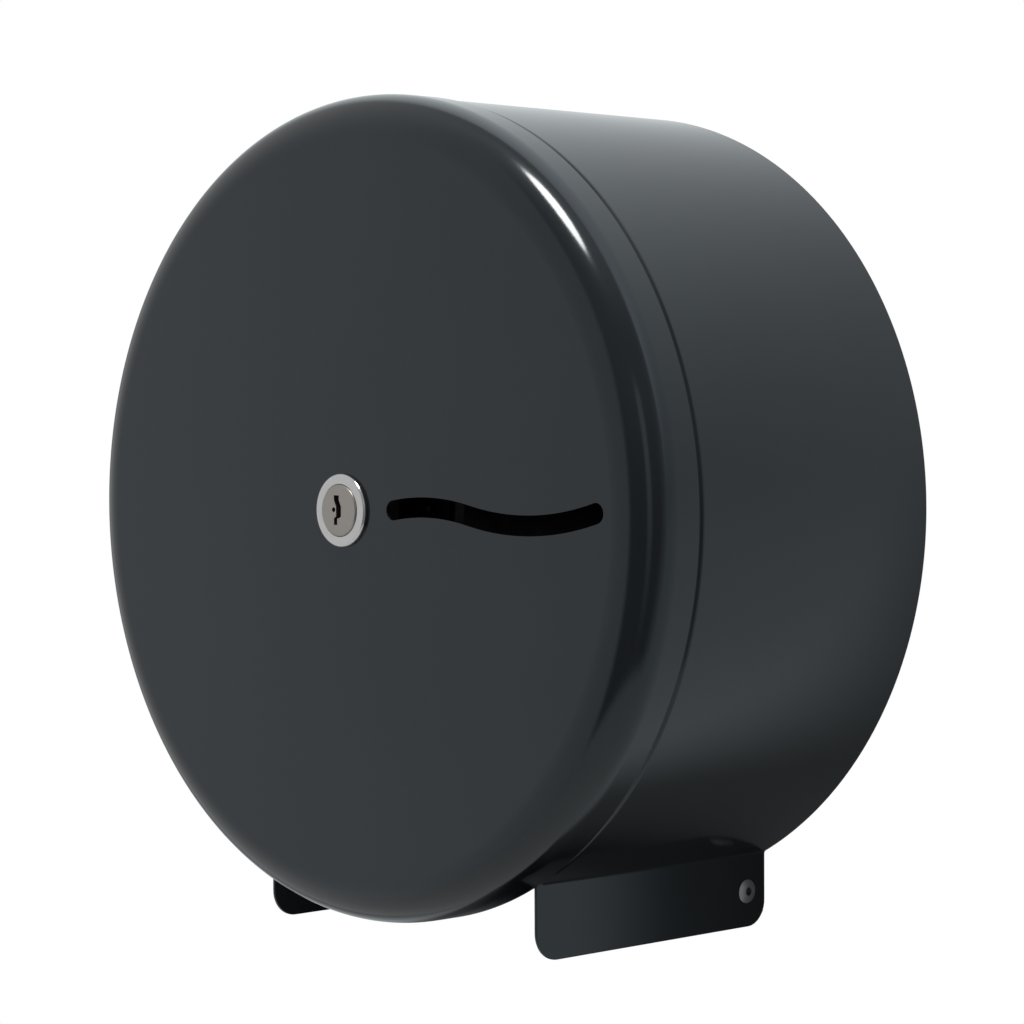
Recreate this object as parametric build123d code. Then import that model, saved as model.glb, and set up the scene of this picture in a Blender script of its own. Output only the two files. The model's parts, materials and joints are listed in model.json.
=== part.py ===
from build123d import *
import math
import os

# Jumbo toilet roll dispenser: a round lockable steel drum that hangs on a wall plate.
# Frame: millimetres, +Z up, +X to the right of someone facing it, front towards -Y.
# The origin is the centre of the wall plate's rear face, so the wall is the plane Y = 0.
# The roll, the hub and the lock all share the Y axis.

# ---- driving dimensions: casing ----
lid_d = 260.0  # outside diameter of the front pan
overall_depth = 130.4  # wall to the pan's flat face
sheet = 1.0  # steel of the pan and the drum wall
lid_edge_r = 13.5  # outside radius of the pan's rolled edge
skirt_depth = 22.4  # flat face to the rear edge of the pan's skirt
nest_gap = 0.3  # paint gap between the skirt and the drum wall inside it
wall_gap = 3.0  # rear edge of the casing to the wall
tab_spread = 125.0  # across the outside of the two hinge tabs
tab_drop = 8.5  # tabs below the underside of the drum
tab_front_r = 9.0  # lower front corner of a tab
tab_rear_r = 10.0  # lower rear corner of a tab
tab_step = 0.2  # tab's front edge behind the skirt's rear edge
fold_r = 1.2  # inside radius of the casing's folds

# ---- driving dimensions: viewing slot, a wave of two tangent arcs ----
slot_w = 6.15
slot_start_x = 23.3
slot_start_z = 0.4
slot_start_angle = 9.2
slot_crest_r = 89.0
slot_crest_turn = 21.6
slot_trough_r = 109.5
slot_trough_turn = 28.3

# ---- driving dimensions: cover hinge ----
pivot_from_wall = 12.0  # hinge axis in front of the wall
swing_clear = 0.3  # tabs' lower edges to the wall with the cover fully open
rivet_shank_r = 2.0
rivet_head_r = 3.9
rivet_head_h = 1.9
head_land = 0.3  # upright edge of a domed rivet or screw head
rivet_bore_r = 1.35
rivet_bore_depth = 3.2
rivet_bulb_r = 2.9
rivet_bulb_h = 3.2
running = 0.05  # radial clearance of a turning fit
seat = 0.02  # radial clearance of a fixed fit
side_play = 0.1  # each side of a hinge washer
hinge_washer_r = 5.0
hinge_washer_t = 1.0

# ---- driving dimensions: wall plate ----
plate_t = 1.2
plate_gap = 2.2  # plate's rim to the inside of the drum wall
rim_depth = 12.0  # wall to the front of the plate's rim
rim_bend_r = 2.5  # outside radius of the rim's bend
leg_w = 13.0
leg_corner_r = 5.0
ear_nose_r = 8.0
ear_rise = 14.0  # ear's root above the hinge axis
ear_bend_r = 2.2
bead_r = 100.0  # pitch radius of the stiffening bead
bead_h = 3.5  # its crest in front of the plate's face
bead_crest_w = 5.0
screw_hole_r = 3.0
screw_spread_x = 110.0
screw_spread_z = 120.0

# ---- driving dimensions: spindle, hub and keeper ----
spindle_r = 19.0
spindle_wall = 1.5
spindle_front = 26.0  # pan's flat face back to the spindle's end
flange_r = 36.0
flange_t = 2.0
collar_wall = 2.5
collar_h = 6.0
flange_rivet_pitch_r = 28.0
flange_rivet_r = 2.0
flange_rivet_head_r = 3.6
flange_rivet_head_h = 1.4
flange_rivet_count = 4
sink_depth = 0.9  # countersink in the wall plate's rear face
cap_t = 4.0
cap_screw_r = 2.0
cap_screw_x = 11.0
cap_screw_len = 3.6
screw_head_r = 3.5
screw_head_h = 1.9
hub_r = 25.0
hub_clear = 0.3  # hub's bore to the spindle
hub_play = 0.4  # hub to keeper plate
hub_flange_r = 33.0
hub_flange_t = 2.5
hub_lead = 2.0
hub_groove_w = 3.0
hub_groove_depth = 1.2
hub_groove_count = 6
hub_washer_t = 1.0
hub_washer_play = 0.2
keeper_t = 2.0
keeper_r = 23.0
keeper_w = 12.0
keeper_inset = 0.5  # keeper's tongue inside the hub's outside
lip_reach = 9.0  # lip below the underside of the tongue
lip_clear = 1.1  # lip in front of the cam

# ---- driving dimensions: cam lock ----
lock_flange_r = 11.5
lock_flange_h = 2.0
lock_bevel = 0.6
barrel_r = 9.5
barrel_flats = 16.5
barrel_len = 16.0  # behind the pan's flat face
barrel_hole_clear = 0.15
plug_r = 8.1
plug_head_h = 2.6
plug_body_r = 6.3
plug_gap = 0.09
plug_recess = 0.25
plug_chamfer = 0.35
keyway_w = 2.2
keyway_h = 9.3
keyway_x = -0.9
keyway_jog = 1.0
keyway_jog_h = 4.0
keyway_nub_r = 1.0
keyway_depth = 9.0
lock_washer_r = 12.5
lock_washer_t = 0.8
nut_flats = 24.0
nut_t = 4.0
cam_gap = 0.2  # barrel's end to the cam
cam_t = 2.0
cam_w = 14.0
cam_clear = 2.0  # cam's tip below the keeper's tongue
cam_tip_r = 3.0
shank_side = 7.0
shank_clear = 0.05
shank_short = 0.1  # shank's end inside the cam's rear face
cam_washer_r = 6.0
cam_washer_t = 0.8
cam_screw_r = 2.4
cam_screw_len = 7.0
cam_screw_head_r = 4.4
cam_screw_head_h = 2.1

# ---- places worked out from them ----
lid_r = lid_d / 2
face_y = -overall_depth
pan_back_y = face_y + sheet
skirt_y = face_y + skirt_depth
drum_r = lid_r - sheet - nest_gap
drum_in_r = drum_r - sheet
drum_front_y = face_y + lid_edge_r
drum_rear_y = -wall_gap
tab_out_x = tab_spread / 2
tab_in_x = tab_out_x - sheet
tab_front_y = skirt_y + tab_step
tab_bottom_z = -(drum_r + tab_drop)
mouth_z = -math.sqrt(drum_r**2 - tab_out_x**2)

pivot_y = -pivot_from_wall
pivot_z = tab_bottom_z + pivot_from_wall - swing_clear
ear_out_x = tab_in_x - hinge_washer_t - 2 * side_play
ear_in_x = ear_out_x - plate_t
plate_r = drum_in_r - plate_gap
leg_bottom_z = pivot_z - ear_nose_r

spindle_y = face_y + spindle_front
flange_y = -(plate_t + flange_t)
collar_r = spindle_r + collar_wall
collar_y = flange_y - collar_h
hub_washer_y = collar_y - hub_washer_t
hub_rear_y = hub_washer_y - hub_washer_play
hub_front_y = spindle_y + hub_play
keeper_y = spindle_y - keeper_t
tongue_top_z = hub_r - keeper_inset
tongue_low_z = tongue_top_z - keeper_t
lip_low_z = tongue_low_z - lip_reach

barrel_end_y = face_y + barrel_len
cam_front_y = barrel_end_y + cam_gap
cam_rear_y = cam_front_y + cam_t
cam_reach = tongue_low_z - cam_clear
lip_rear_y = cam_front_y - lip_clear
lip_front_y = lip_rear_y - keeper_t
plug_face_y = face_y - lock_flange_h + plug_recess


def corners_at(sketch, x, y):
    """The sketch's corners at a point of its own plane."""
    return [v for v in sketch.vertices() if abs(v.X - x) < seat and abs(v.Y - y) < seat]


def turned(points):
    """Solid of revolution about the Y axis from (radius, y) corners."""
    return revolve(make_face(Polyline(*points, close=True)), Axis.Y)


def disc(radius, y_rear, y_front, x=0.0, z=0.0):
    """Cylinder along Y between two planes."""
    profile = Plane(origin=(0, y_rear, 0), z_dir=(0, -1, 0), x_dir=(1, 0, 0)) * Pos(x, z) * Circle(radius)
    return extrude(profile, y_rear - y_front)


def slab(sketch, y_rear, y_front):
    """A sketch in X and Z, extruded along Y between two planes."""
    return extrude(Plane(origin=(0, y_rear, 0), z_dir=(0, -1, 0), x_dir=(1, 0, 0)) * sketch, y_rear - y_front)


def side_slab(sketch, x_low, x_high):
    """A sketch in Y and Z, extruded along X between two planes."""
    return extrude(Plane(origin=(x_low, 0, 0), z_dir=(1, 0, 0), x_dir=(0, 1, 0)) * sketch, x_high - x_low)


def domed_head(radius, height):
    """Round head with a spherical top that points to -Y, standing on the plane Y = 0."""
    rise = height - head_land
    dome_r = (radius**2 + rise**2) / (2 * rise)
    return disc(radius, 0, -height) & Pos(0, dome_r - height, 0) * Sphere(dome_r)


def rod_x(radius, x_low, x_high):
    """Cylinder along X on the hinge axis."""
    return side_slab(Pos(pivot_y, pivot_z) * Circle(radius), min(x_low, x_high), max(x_low, x_high))


def both_sides(piece):
    """The piece and its mirror image in the YZ plane."""
    return [piece, mirror(piece, Plane.YZ)]


# ---- cover: the casing ----
def slot_outline():
    """The wave: a crest arc and a trough arc, tangent where they meet, widened to the slot."""
    start_dir = (math.cos(math.radians(slot_start_angle)), math.sin(math.radians(slot_start_angle)))
    crest = JernArc((slot_start_x, slot_start_z), start_dir, slot_crest_r, -slot_crest_turn)
    trough = JernArc(crest @ 1, crest % 1, slot_trough_r, slot_trough_turn)
    centre_line = Wire([crest.edge(), trough.edge()])
    return make_face(offset(centre_line, amount=slot_w / 2, kind=Kind.ARC, side=Side.BOTH).edges())


def double_d(radius, flats):
    """Round with two flats, the section of the lock's barrel."""
    return Circle(radius) & Rectangle(flats, 2 * radius)


def make_front_pan():
    """Shallow pan with a rolled edge, a flatted lock hole and the viewing slot."""
    edge_y = face_y + lid_edge_r
    inner_edge_r = lid_edge_r - sheet
    corner = lid_r - lid_edge_r
    diagonal = math.sqrt(0.5)
    outer = [
        Line((0, face_y), (corner, face_y)),
        ThreePointArc(
            (corner, face_y),
            (corner + lid_edge_r * diagonal, edge_y - lid_edge_r * diagonal),
            (lid_r, edge_y),
        ),
        Line((lid_r, edge_y), (lid_r, skirt_y)),
        Line((lid_r, skirt_y), (lid_r - sheet, skirt_y)),
    ]
    inner = [
        Line((lid_r - sheet, skirt_y), (lid_r - sheet, edge_y)),
        ThreePointArc(
            (lid_r - sheet, edge_y),
            (corner + inner_edge_r * diagonal, edge_y - inner_edge_r * diagonal),
            (corner, pan_back_y),
        ),
        Line((corner, pan_back_y), (0, pan_back_y)),
        Line((0, pan_back_y), (0, face_y)),
    ]
    pan = revolve(make_face(outer + inner), Axis.Y)
    lock_hole = double_d(barrel_r + barrel_hole_clear, barrel_flats + 2 * barrel_hole_clear)
    cuts = slab(lock_hole + slot_outline(), pan_back_y + sheet, face_y - sheet)
    return pan - cuts


def strip_section():
    """Section of the rolled strip: most of a ring, folded down into a tab at each end."""
    ring = Circle(drum_r) - Circle(drum_in_r)
    mouth = Pos(0, -drum_r) * Rectangle(2 * tab_in_x, drum_r)
    tab_h = mouth_z - tab_bottom_z + fold_r + sheet
    tab = Pos(tab_out_x - sheet / 2, tab_bottom_z + tab_h / 2) * Rectangle(sheet, tab_h)
    section = (ring - mouth) + tab + mirror(tab, Plane.YZ)
    for side in (-1, 1):
        section = fillet(corners_at(section, side * tab_out_x, mouth_z), fold_r)
    return section


def casing_silhouette():
    """Side view of the strip in Y and Z, with the tabs' rounded corners."""
    skirt_cut_z = mouth_z + sheet
    body = Pos((drum_front_y + drum_rear_y) / 2, (drum_r + skirt_cut_z) / 2) * Rectangle(
        drum_rear_y - drum_front_y, drum_r - skirt_cut_z + sheet
    )
    tab_len = drum_rear_y - tab_front_y
    tab_h = skirt_cut_z - tab_bottom_z
    tab = Pos((tab_front_y + drum_rear_y) / 2, tab_bottom_z + tab_h / 2) * Rectangle(tab_len, tab_h)
    tab = fillet(corners_at(tab, tab_front_y, tab_bottom_z), tab_front_r)
    tab = fillet(corners_at(tab, drum_rear_y, tab_bottom_z), tab_rear_r)
    return body + tab


def make_drum_wall():
    """Rolled strip that nests in the pan's skirt, open at the mouth between its two tabs."""
    strip = slab(strip_section(), drum_rear_y, drum_front_y)
    wall = strip & side_slab(casing_silhouette(), -lid_r, lid_r)
    return wall - rod_x(rivet_shank_r + running, -lid_r, lid_r)


# ---- cover: the cam lock ----
def make_lock_housing():
    """Flanged barrel with two flats, bored for the plug and its wider head."""
    flange = chamfer(
        disc(lock_flange_r, face_y, face_y - lock_flange_h).edges().sort_by(Axis.Y)[0], lock_bevel
    )
    barrel = slab(double_d(barrel_r, barrel_flats), barrel_end_y, face_y)
    head_seat_y = plug_face_y + plug_head_h + plug_gap
    bore = disc(plug_r + plug_gap, head_seat_y, face_y - 2 * lock_flange_h)
    bore += disc(plug_body_r + plug_gap, barrel_end_y + sheet, face_y)
    return flange + barrel - bore


def make_lock_washer():
    """Plain washer between the pan and the nut."""
    rear_y = pan_back_y + lock_washer_t
    return disc(lock_washer_r, rear_y, pan_back_y) - disc(barrel_r + running, rear_y + sheet, face_y)


def make_lock_nut():
    """Thin hexagon nut on the barrel."""
    front_y = pan_back_y + lock_washer_t
    rear_y = front_y + nut_t
    hexagon = RegularPolygon(nut_flats / 2, 6, major_radius=False)
    nut = slab(hexagon, rear_y, front_y) & turned(
        [
            (0, front_y),
            (nut_flats / 2, front_y),
            (nut_flats / 2 + nut_t / 2, (front_y + rear_y) / 2),
            (nut_flats / 2, rear_y),
            (0, rear_y),
        ]
    )
    return nut - disc(barrel_r + running, rear_y + sheet, face_y)


def keyway():
    """Key's entry: an upright slot that jogs at half height, with a round nub beside it."""
    third = keyway_h / 3
    upper = Pos(keyway_x, third) * Rectangle(keyway_w, third)
    middle = Pos(keyway_x + keyway_jog, 0) * Rectangle(keyway_w, keyway_jog_h)
    lower = Pos(keyway_x, -third) * Rectangle(keyway_w, third)
    spine = Pos(keyway_x + keyway_jog / 2, 0) * Rectangle(keyway_w - keyway_jog, keyway_h - third)
    nub = Pos(keyway_x - keyway_jog / 2, 0) * Circle(keyway_nub_r)
    return upper + middle + lower + spine + nub


def make_lock_plug():
    """Key plug: wide head, round body, square shank for the cam and a bore for its screw."""
    head_rear_y = plug_face_y + plug_head_h
    head = disc(plug_r, head_rear_y, plug_face_y)
    head = chamfer(head.edges().sort_by(Axis.Y)[0], plug_chamfer)
    body = disc(plug_body_r, cam_front_y, head_rear_y)
    shank_end_y = cam_rear_y - shank_short
    shank = slab(Rectangle(shank_side, shank_side), shank_end_y, cam_front_y)
    plug = head + body + shank
    plug -= slab(keyway(), plug_face_y + keyway_depth, plug_face_y - sheet)
    return plug - disc(cam_screw_r + seat, shank_end_y + sheet, shank_end_y - cam_screw_len)


def make_lock_cam():
    """Flat lever on the plug's shank, pointing to -X when unlocked."""
    eye = Circle(cam_w / 2)
    arm_len = cam_reach
    arm = Pos(-arm_len / 2, 0) * Rectangle(arm_len, cam_w)
    arm = fillet(arm.vertices().sort_by(Axis.X)[:2], cam_tip_r)
    side = shank_side + 2 * shank_clear
    return slab(eye + arm - Rectangle(side, side), cam_rear_y, cam_front_y)


def make_cam_washer():
    """Washer under the cam screw's head."""
    rear_y = cam_rear_y + cam_washer_t
    return disc(cam_washer_r, rear_y, cam_rear_y) - disc(cam_screw_r + running, rear_y + sheet, face_y)


def cross_recess(reach, width):
    """Cross-shaped driver recess."""
    return Rectangle(2 * reach, width) + Rectangle(width, 2 * reach)


def make_cam_screw():
    """Pan-head screw that clamps the cam, driven from behind."""
    head_front_y = cam_rear_y + cam_washer_t
    head_rear_y = head_front_y + cam_screw_head_h
    head = Pos(0, head_front_y, 0) * Rot(0, 0, 180) * domed_head(cam_screw_head_r, cam_screw_head_h)
    shank_end_y = cam_rear_y - shank_short - cam_screw_len + running
    screw = head + disc(cam_screw_r, head_front_y, shank_end_y)
    recess = cross_recess(cam_screw_head_r / 2, cam_screw_head_r / 5)
    return screw - slab(recess, head_rear_y + sheet, head_front_y + cam_screw_head_h / 3)


# ---- root: the wall plate ----
def plate_outline():
    """Disc with a leg beside each hinge tab."""
    leg_h = plate_r / 3
    leg_out_x = ear_out_x - ear_bend_r
    leg = Pos(leg_out_x - leg_w / 2, leg_bottom_z + leg_h / 2) * Rectangle(leg_w, leg_h)
    leg = fillet(corners_at(leg, leg_out_x - leg_w, leg_bottom_z), leg_corner_r)
    return Circle(plate_r) + leg + mirror(leg, Plane.YZ)


def plate_rim():
    """Forward rim round the plate, left out across the paper mouth."""
    bend_in_r = rim_bend_r - plate_t
    flat_r = plate_r - rim_bend_r
    diagonal = math.sqrt(0.5)
    section = [
        Line((flat_r, 0), (flat_r, -plate_t)),
        ThreePointArc(
            (flat_r, -plate_t),
            (flat_r + bend_in_r * diagonal, -rim_bend_r + bend_in_r * diagonal),
            (plate_r - plate_t, -rim_bend_r),
        ),
        Line((plate_r - plate_t, -rim_bend_r), (plate_r - plate_t, -rim_depth)),
        Line((plate_r - plate_t, -rim_depth), (plate_r, -rim_depth)),
        Line((plate_r, -rim_depth), (plate_r, -rim_bend_r)),
        ThreePointArc(
            (plate_r, -rim_bend_r),
            (flat_r + rim_bend_r * diagonal, -rim_bend_r + rim_bend_r * diagonal),
            (flat_r, 0),
        ),
    ]
    rim = revolve(make_face(section), Axis.Y)
    gap_w = 2 * (tab_out_x + side_play)
    return rim - slab(Pos(0, -plate_r) * Rectangle(gap_w, plate_r), sheet, -2 * rim_depth)


def plate_ear():
    """Ear folded forward from a leg, with a bend at the plate and a round nose at the hinge axis."""
    depth = pivot_from_wall + ear_nose_r
    bend_w = ear_bend_r + plate_t
    flat = Pos(ear_out_x - bend_w / 2, -plate_t / 2) * Rectangle(bend_w, plate_t)
    upright = Pos(ear_out_x - plate_t / 2, -depth / 2) * Rectangle(plate_t, depth)
    section = flat + upright
    section = fillet(corners_at(section, ear_out_x, 0), ear_bend_r)
    section = fillet(corners_at(section, ear_in_x, -plate_t), ear_bend_r - plate_t)
    angle = extrude(Pos(0, 0, leg_bottom_z) * section, pivot_z + ear_rise - leg_bottom_z)
    root = Line((0, leg_bottom_z), (0, pivot_z + ear_rise))
    nose = CenterArc((pivot_y, pivot_z), ear_nose_r, 0, 360)
    return angle & side_slab(make_hull([root, nose.edge()]), ear_out_x - 2 * bend_w, ear_out_x + sheet)


def bead_ring(crest_w, base_y, crest_y):
    """Ring about the plate's centre with 45 degree sides and a flat crest."""
    crest = crest_w / 2
    base = crest + base_y - crest_y
    return turned(
        [
            (bead_r - base, base_y),
            (bead_r + base, base_y),
            (bead_r + crest, crest_y),
            (bead_r - crest, crest_y),
        ]
    )


def at_wall_screws(piece_at):
    """One cutter at each of the four wall screws."""
    return [
        piece_at(sx * screw_spread_x / 2, sz * screw_spread_z / 2)
        for sx in (-1, 1)
        for sz in (-1, 1)
    ]


def at_flange_rivets(piece_at):
    """One piece at each rivet of the spindle's flange."""
    pieces = []
    for number in range(flange_rivet_count):
        angle = 2 * math.pi * (number + 0.5) / flange_rivet_count
        x = flange_rivet_pitch_r * math.cos(angle)
        z = flange_rivet_pitch_r * math.sin(angle)
        pieces.append(piece_at(x, z))
    return pieces


def rivet_sink(x, z, spare):
    """Countersunk head of a flange rivet, flush with the plate's rear face."""
    wide = flange_rivet_r + sink_depth + spare
    cone = turned([(0, 0), (wide, 0), (flange_rivet_r + spare, -sink_depth), (0, -sink_depth)])
    return Pos(x, 0, z) * cone


def make_back_plate():
    """Pressed round wall plate with rim, bead, legs and hinge ears."""
    flat_r = plate_r - rim_bend_r
    mouth = Pos(0, -plate_r) * Rectangle(2 * (tab_out_x + side_play), plate_r)
    blank = Circle(flat_r) + (plate_outline() & mouth)
    plate = slab(blank, 0, -plate_t) + plate_rim()
    inner_crest_w = bead_crest_w - 2 * plate_t * math.tan(math.radians(45 / 2))
    plate = plate + bead_ring(bead_crest_w, -plate_t, -plate_t - bead_h)
    plate = plate - bead_ring(inner_crest_w, 0, -bead_h)
    for ear in both_sides(plate_ear()):
        plate = plate + ear
    for hole in at_wall_screws(lambda x, z: disc(screw_hole_r, sheet, -2 * plate_t, x, z)):
        plate = plate - hole
    for hole in at_flange_rivets(lambda x, z: disc(flange_rivet_r + seat, sheet, -2 * plate_t, x, z)):
        plate = plate - hole
    for sink in at_flange_rivets(lambda x, z: rivet_sink(x, z, seat)):
        plate = plate - sink
    return plate - rod_x(rivet_shank_r + seat, -lid_r, lid_r)


def make_pivot_rivet():
    """Domed blind rivet on the hinge axis: bored head outside the tab, bulb inside the ear."""
    head_x = tab_out_x + side_play
    head = Pos(head_x, pivot_y, pivot_z) * Rot(0, 0, 90) * domed_head(rivet_head_r, rivet_head_h)
    bulb = rod_x(rivet_bulb_r, ear_in_x - rivet_bulb_h, ear_in_x)
    bulb = chamfer(bulb.edges().filter_by(GeomType.CIRCLE), rivet_bulb_h / 4)
    rivet = head + bulb + rod_x(rivet_shank_r, ear_in_x - rivet_bulb_h / 2, head_x)
    outside_x = head_x + rivet_head_h
    return rivet - rod_x(rivet_bore_r, outside_x - rivet_bore_depth, outside_x + sheet)


def make_hinge_washer():
    """Nylon washer between a tab and its ear."""
    low_x = ear_out_x + side_play
    high_x = tab_in_x - side_play
    return rod_x(hinge_washer_r, low_x, high_x) - rod_x(rivet_shank_r + running, 0, lid_r)


# ---- root: the spindle ----
def make_spindle_flange():
    """Round flange with a welded collar that carries the spindle tube."""
    weld = collar_wall / 2
    body = turned(
        [
            (spindle_r + seat, -plate_t),
            (flange_r, -plate_t),
            (flange_r, flange_y),
            (collar_r + weld, flange_y),
            (collar_r, flange_y - weld),
            (collar_r, collar_y),
            (spindle_r + seat, collar_y),
        ]
    )
    for hole in at_flange_rivets(lambda x, z: disc(flange_rivet_r + seat, 0, 2 * flange_y, x, z)):
        body = body - hole
    return body


def make_flange_rivet(x, z):
    """Domed rivet, set flush behind the plate."""
    head = Pos(0, flange_y, 0) * domed_head(flange_rivet_head_r, flange_rivet_head_h)
    rivet = head + disc(flange_rivet_r, 0, flange_y)
    return Pos(x, 0, z) * rivet + rivet_sink(x, z, 0)


def make_spindle_tube():
    """Steel tube from the wall plate to the keeper."""
    return disc(spindle_r, -plate_t, spindle_y) - disc(spindle_r - spindle_wall, 0, spindle_y - sheet)


def at_keeper_screws(piece_at):
    """One piece at each keeper screw."""
    return [piece_at(-cap_screw_x), piece_at(cap_screw_x)]


def make_spindle_cap():
    """Plug in the tube's front end, tapped for the keeper screws."""
    cap = disc(spindle_r - spindle_wall - seat, spindle_y + cap_t, spindle_y)
    for hole in at_keeper_screws(lambda x: disc(cap_screw_r + seat, spindle_y + 2 * cap_t, keeper_y, x)):
        cap = cap - hole
    return cap


def make_keeper_plate():
    """Disc that retains the hub, with a tongue folded forward and down for the cam."""
    plate = disc(keeper_r, spindle_y, keeper_y)
    strap_h = tongue_top_z - keeper_r / 2
    strap = Pos((spindle_y + keeper_y) / 2, tongue_top_z - strap_h / 2) * Rectangle(keeper_t, strap_h)
    tongue_len = spindle_y - lip_front_y
    tongue = Pos(spindle_y - tongue_len / 2, tongue_top_z - keeper_t / 2) * Rectangle(tongue_len, keeper_t)
    lip_h = tongue_top_z - lip_low_z
    lip = Pos((lip_front_y + lip_rear_y) / 2, tongue_top_z - lip_h / 2) * Rectangle(keeper_t, lip_h)
    profile = strap + tongue + lip
    outer = profile.vertices().sort_by(Axis.Y)[-2:]
    profile = fillet(outer, keeper_t)
    bracket = plate + side_slab(profile, -keeper_w / 2, keeper_w / 2)
    for hole in at_keeper_screws(lambda x: disc(cap_screw_r + running, spindle_y + sheet, 2 * face_y, x)):
        bracket = bracket - hole
    return bracket


def make_keeper_screw(x):
    """Pan-head screw through the keeper plate into the spindle's cap."""
    head_front_y = keeper_y - screw_head_h
    head = Pos(x, keeper_y, 0) * domed_head(screw_head_r, screw_head_h)
    screw = head + disc(cap_screw_r, spindle_y + cap_screw_len, keeper_y, x)
    recess = Pos(x, 0) * cross_recess(screw_head_r / 2, screw_head_r / 5)
    return screw - slab(recess, head_front_y + screw_head_h / 2, head_front_y - sheet)


# ---- hub ----
def make_hub_washer():
    """Nylon thrust washer between the collar and the hub."""
    ring = disc(collar_r, collar_y, hub_washer_y)
    return ring - disc(spindle_r + running, 0, hub_washer_y - sheet)


def make_hub_sleeve():
    """Plastic sleeve that carries the roll's core: rear flange, lead-in and grip grooves."""
    bore_r = spindle_r + hub_clear
    sleeve = turned(
        [
            (bore_r, hub_rear_y),
            (hub_flange_r, hub_rear_y),
            (hub_flange_r, hub_rear_y - hub_flange_t),
            (hub_r, hub_rear_y - hub_flange_t),
            (hub_r, hub_front_y + hub_lead),
            (hub_r - hub_lead, hub_front_y),
            (bore_r, hub_front_y),
        ]
    )
    rim = [e for e in sleeve.edges().filter_by(GeomType.CIRCLE) if abs(e.radius - hub_flange_r) < seat]
    sleeve = chamfer(rim, hub_flange_t / 4)
    groove = Pos(0, hub_r) * Rectangle(hub_groove_w, 2 * hub_groove_depth)
    for number in range(hub_groove_count):
        turn = 360 * number / hub_groove_count
        sleeve = sleeve - slab(Rot(0, 0, turn) * groove, hub_rear_y - hub_flange_t, hub_front_y - sheet)
    return sleeve


def save(name, *solids):
    """One STEP file per node."""
    shape = solids[0] if len(solids) == 1 else Compound(children=list(solids))
    export_step(shape, f"parts/{name}.step")


os.makedirs("parts", exist_ok=True)
save("front_pan", make_front_pan())
save("drum_wall", make_drum_wall())
save("lock_housing", make_lock_housing())
save("lock_washer", make_lock_washer())
save("lock_nut", make_lock_nut())
save("lock_plug", make_lock_plug())
save("lock_cam", make_lock_cam())
save("cam_washer", make_cam_washer())
save("cam_screw", make_cam_screw())
save("back_plate", make_back_plate())
save("pivot_rivets", *both_sides(make_pivot_rivet()))
save("hinge_washers", *both_sides(make_hinge_washer()))
save("spindle_flange", make_spindle_flange())
save("flange_rivets", *at_flange_rivets(make_flange_rivet))
save("spindle_tube", make_spindle_tube())
save("spindle_cap", make_spindle_cap())
save("keeper_plate", make_keeper_plate())
save("keeper_screws", *at_keeper_screws(make_keeper_screw))
save("hub_washer", make_hub_washer())
save("hub_sleeve", make_hub_sleeve())
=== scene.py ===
import json
import math

import bmesh
import bpy
from bpy.props import FloatProperty, FloatVectorProperty, IntProperty, PointerProperty
from mathutils import Matrix, Quaternion, Vector


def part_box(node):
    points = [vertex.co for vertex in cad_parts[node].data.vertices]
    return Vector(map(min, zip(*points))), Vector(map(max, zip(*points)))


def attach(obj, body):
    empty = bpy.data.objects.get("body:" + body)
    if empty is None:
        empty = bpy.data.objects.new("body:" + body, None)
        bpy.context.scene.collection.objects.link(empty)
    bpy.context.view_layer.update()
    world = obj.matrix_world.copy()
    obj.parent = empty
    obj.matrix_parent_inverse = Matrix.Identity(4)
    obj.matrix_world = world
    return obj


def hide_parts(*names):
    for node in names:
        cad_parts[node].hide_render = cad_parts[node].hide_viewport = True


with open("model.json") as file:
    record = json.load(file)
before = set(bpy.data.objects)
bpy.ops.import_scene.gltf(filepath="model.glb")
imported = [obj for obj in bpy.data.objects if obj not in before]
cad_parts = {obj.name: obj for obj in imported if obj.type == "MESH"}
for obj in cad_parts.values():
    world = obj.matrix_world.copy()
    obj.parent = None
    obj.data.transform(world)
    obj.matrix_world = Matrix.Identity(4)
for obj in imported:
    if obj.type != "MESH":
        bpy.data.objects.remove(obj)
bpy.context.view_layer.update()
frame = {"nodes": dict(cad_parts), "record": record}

bl_info = {
    "name": "Jumbo Roll Dispenser Looks",
    "version": (1, 0, 0),
    "blender": (4, 5, 0),
    "location": "View3D > Sidebar > Dispenser",
    "description": "Dresses the frame of a round washroom roll dispenser with modelled shells",
    "category": "Add Mesh",
}

MM = 0.001
# places of the modelled shells, read from the frame's solids
BRIM_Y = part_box("front_pan")[0].y  # the pan's flat face
SKIRT_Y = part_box("front_pan")[1].y
PAN_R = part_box("front_pan")[1].x
DRUM_FRONT_Y, DRUM_REAR_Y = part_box("drum_wall")[0].y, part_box("drum_wall")[1].y
TAB_LOW_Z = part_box("drum_wall")[0].z
DRUM_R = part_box("drum_wall")[1].z
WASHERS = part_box("hinge_washers")
HINGE_Y = (WASHERS[0].y + WASHERS[1].y) / 2
HINGE_Z = (WASHERS[0].z + WASHERS[1].z) / 2
RING_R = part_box("lock_housing")[1].x
RING_FRONT_Y, BARREL_REAR_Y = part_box("lock_housing")[0].y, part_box("lock_housing")[1].y
PLUG_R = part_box("lock_plug")[1].x
PLUG_FRONT_Y, PLUG_REAR_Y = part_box("lock_plug")[0].y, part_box("lock_plug")[1].y

# faces along each kind of round
PAN_STEPS = 288
STRIP_STEPS = 240
ROUND_STEPS = 96
SMALL_STEPS = 48
SHARP_ANGLE = math.radians(32)
NEAR = 0.02 * MM  # places closer than this count as one


# ---- selecting and shaping ----
def clear_selection():
    """Leaves edit mode with nothing selected."""
    if bpy.context.mode != "OBJECT":
        bpy.ops.object.mode_set(mode="OBJECT")
    bpy.ops.object.select_all(action="DESELECT")


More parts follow.
